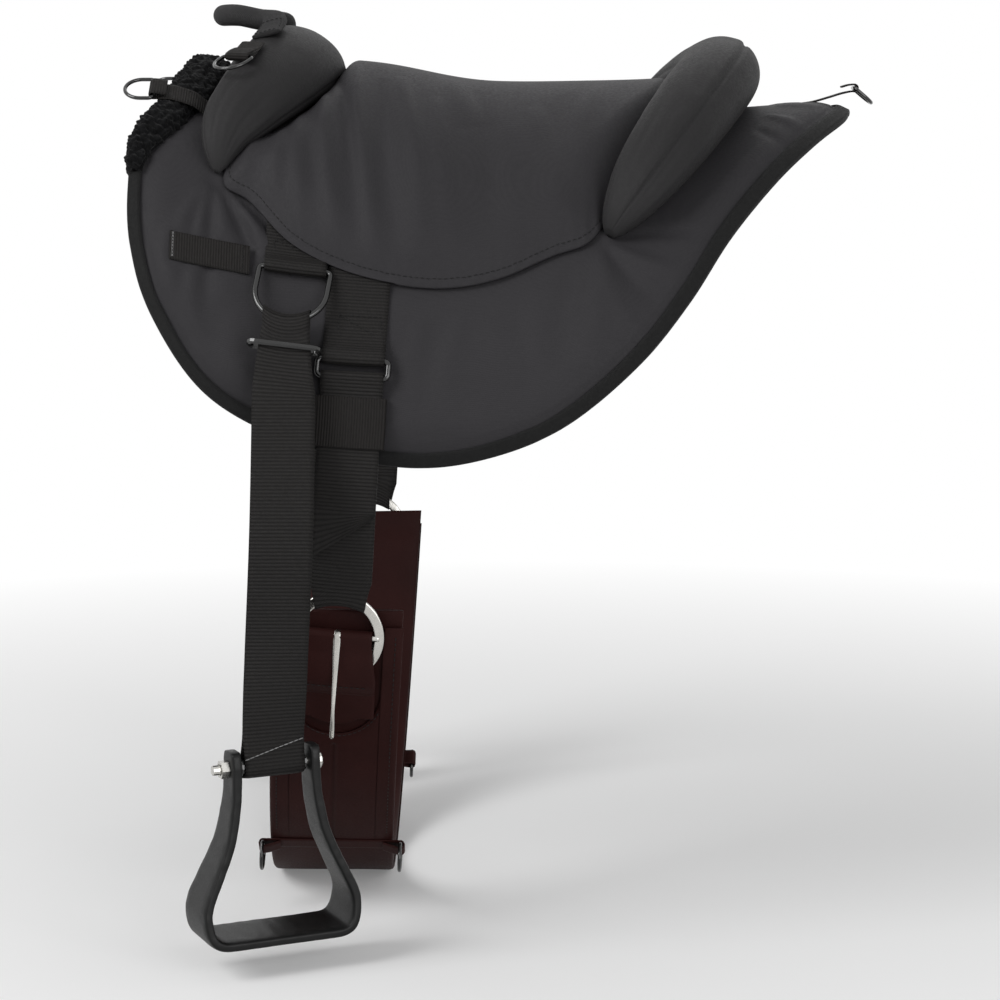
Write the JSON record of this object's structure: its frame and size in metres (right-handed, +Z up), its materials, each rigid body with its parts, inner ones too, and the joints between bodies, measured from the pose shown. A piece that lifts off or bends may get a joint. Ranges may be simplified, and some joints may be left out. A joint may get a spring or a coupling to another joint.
{
  "type": "bareback pad",
  "caption": "Bareback riding pad with padded rolls, seat panel, grab handle, girth, tie rings and stirrups, shaped as worn.",
  "frame": {"origin": "under the pad on the spine, halfway along the pad", "axes": "+X towards the tail, -Y the near side, +Z up"},
  "size_m": [0.6394, 0.7198, 0.7646],
  "materials": {
    "black_webbing": "ribbed webbing",
    "black_metal": "glossy black coating",
    "black_fleece": "curly fleece",
    "grey_foam": "soft foam filling",
    "charcoal_polyester": "woven polyester, matt",
    "brown_neoprene": "matt brown neoprene",
    "nickel": "nickel plated",
    "black_plastic": "moulded, slightly rough"
  },
  "bodies": {
    "pad": {"edge_binding": "black_webbing", "flap_keeper_left": "black_webbing", "flap_keeper_right": "black_webbing", "fleece_collar": "black_fleece", "fleece_lining": "black_fleece", "foam_core": "grey_foam", "front_roll_core": "grey_foam", "front_roll_cover": "charcoal_polyester", "front_tab_left": "black_webbing", "front_tab_right": "black_webbing", "girth_billet_strap": "black_webbing", "girth_chape_left": "brown_neoprene", "girth_chape_right": "brown_neoprene", "girth_cover": "brown_neoprene", "girth_dring_strap_left": "black_webbing", "girth_dring_strap_right": "black_webbing", "girth_liner": "brown_neoprene", "girth_ring_left": "nickel", "girth_ring_right": "nickel", "girth_slide_left": "black_metal", "girth_slide_right": "black_metal", "girth_strap_left": "black_webbing", "girth_strap_right": "black_webbing", "grab_handle": "black_webbing", "pad_cover": "charcoal_polyester", "rear_roll_core": "grey_foam", "rear_roll_cover": "charcoal_polyester", "rear_tab": "black_webbing", "roll_tab_left": "black_webbing", "roll_tab_right": "black_webbing", "seat_cover": "charcoal_polyester", "seat_foam": "grey_foam", "stirrup_hanger_strap": "black_webbing", "strap_keeper_left": "black_webbing", "strap_keeper_right": "black_webbing"},
    "flap_dring_left": {"flap_dring_left": "black_metal"},
    "stirrup_strap_left": {"stirrup_strap_left": "black_webbing", "stirrup_slide_left": "black_metal"},
    "stirrup_left": {"stirrup_frame_left": "black_plastic", "stirrup_bolt_left": "nickel", "stirrup_nut_left": "nickel", "strap_sleeve_left": "black_metal"},
    "ring_tongue_left": {"ring_tongue_left": "nickel"},
    "roll_dring_left": {"roll_dring_left": "black_metal"},
    "front_dring_left": {"front_dring_left": "black_metal"},
    "girth_dring_front_left": {"girth_dring_front_left": "black_metal"},
    "girth_dring_rear_left": {"girth_dring_rear_left": "black_metal"},
    "flap_dring_right": {"flap_dring_right": "black_metal"},
    "stirrup_strap_right": {"stirrup_strap_right": "black_webbing", "stirrup_slide_right": "black_metal"},
    "stirrup_right": {"stirrup_frame_right": "black_plastic", "stirrup_bolt_right": "nickel", "stirrup_nut_right": "nickel", "strap_sleeve_right": "black_metal"},
    "ring_tongue_right": {"ring_tongue_right": "nickel"},
    "roll_dring_right": {"roll_dring_right": "black_metal"},
    "front_dring_right": {"front_dring_right": "black_metal"},
    "girth_dring_front_right": {"girth_dring_front_right": "black_metal"},
    "girth_dring_rear_right": {"girth_dring_rear_right": "black_metal"},
    "rear_dring": {"rear_dring": "black_metal"}
  },
  "joints": [
    {"name": "flap_dring_hinge_left", "type": "hinge", "parent": "pad", "child": "flap_dring_left", "pos_m": [-0.1645, -0.21297, -0.10192], "axis": [-0.9911, 0.0703, 0.1133], "range_deg": [0, 75]},
    {"name": "stirrup_strap_swing_left", "type": "hinge", "parent": "flap_dring_left", "child": "stirrup_strap_left", "pos_m": [-0.16728, -0.22608, -0.11809], "axis": [0.0166, -0.778, 0.6281], "range_deg": [-15, 15]},
    {"name": "stirrup_rock_left", "type": "hinge", "parent": "stirrup_strap_left", "child": "stirrup_left", "pos_m": [-0.1805, -0.309, -0.487], "axis": [-0.9063, -0.4226, 0], "range_deg": [-25, 75]},
    {"name": "ring_tongue_hinge_left", "type": "hinge", "parent": "pad", "child": "ring_tongue_left", "pos_m": [-0.13012, -0.26292, -0.39266], "axis": [-0.9943, 0.0866, 0.062], "range_deg": [0, 150]},
    {"name": "roll_dring_hinge_left", "type": "hinge", "parent": "pad", "child": "roll_dring_left", "pos_m": [-0.21696, -0.11139, 0.06729], "axis": [-0.817, 0.5754, 0.0374], "range_deg": [0, 105]},
    {"name": "front_dring_hinge_left", "type": "hinge", "parent": "pad", "child": "front_dring_left", "pos_m": [-0.289, -0.10469, 0.04077], "axis": [0, 0.8418, 0.5398], "range_deg": [0, 105]},
    {"name": "girth_dring_hinge_front_left", "type": "hinge", "parent": "pad", "child": "girth_dring_front_left", "pos_m": [-0.20181, -0.15006, -0.5978], "axis": [0.0127, -0.7568, 0.6536], "range_deg": [-80, 80]},
    {"name": "girth_dring_hinge_rear_left", "type": "hinge", "parent": "pad", "child": "girth_dring_rear_left", "pos_m": [-0.08461, -0.15671, -0.5978], "axis": [0.0127, -0.7568, 0.6536], "range_deg": [-80, 80]},
    {"name": "flap_dring_hinge_right", "type": "hinge", "parent": "pad", "child": "flap_dring_right", "pos_m": [-0.1645, 0.21297, -0.10192], "axis": [0.9911, 0.0703, -0.1133], "range_deg": [0, 75]},
    {"name": "stirrup_strap_swing_right", "type": "hinge", "parent": "flap_dring_right", "child": "stirrup_strap_right", "pos_m": [-0.16728, 0.22608, -0.11809], "axis": [-0.0166, -0.778, -0.6281], "range_deg": [-15, 15]},
    {"name": "stirrup_rock_right", "type": "hinge", "parent": "stirrup_strap_right", "child": "stirrup_right", "pos_m": [-0.1805, 0.309, -0.487], "axis": [0.9063, -0.4226, 0], "range_deg": [-25, 75]},
    {"name": "ring_tongue_hinge_right", "type": "hinge", "parent": "pad", "child": "ring_tongue_right", "pos_m": [-0.13012, 0.26292, -0.39266], "axis": [0.9943, 0.0866, -0.062], "range_deg": [0, 150]},
    {"name": "roll_dring_hinge_right", "type": "hinge", "parent": "pad", "child": "roll_dring_right", "pos_m": [-0.21696, 0.11139, 0.06729], "axis": [0.817, 0.5754, -0.0374], "range_deg": [0, 105]},
    {"name": "front_dring_hinge_right", "type": "hinge", "parent": "pad", "child": "front_dring_right", "pos_m": [-0.289, 0.10469, 0.04077], "axis": [0, 0.8418, -0.5398], "range_deg": [0, 105]},
    {"name": "girth_dring_hinge_front_right", "type": "hinge", "parent": "pad", "child": "girth_dring_front_right", "pos_m": [-0.20181, 0.15006, -0.5978], "axis": [-0.0127, -0.7568, -0.6536], "range_deg": [-80, 80]},
    {"name": "girth_dring_hinge_rear_right", "type": "hinge", "parent": "pad", "child": "girth_dring_rear_right", "pos_m": [-0.08461, 0.15671, -0.5978], "axis": [-0.0127, -0.7568, -0.6536], "range_deg": [-80, 80]},
    {"name": "rear_dring_hinge", "type": "hinge", "parent": "pad", "child": "rear_dring", "pos_m": [0.3081, 0, 0.04061], "axis": [0, -1, 0], "range_deg": [0, 120]}
  ]
}
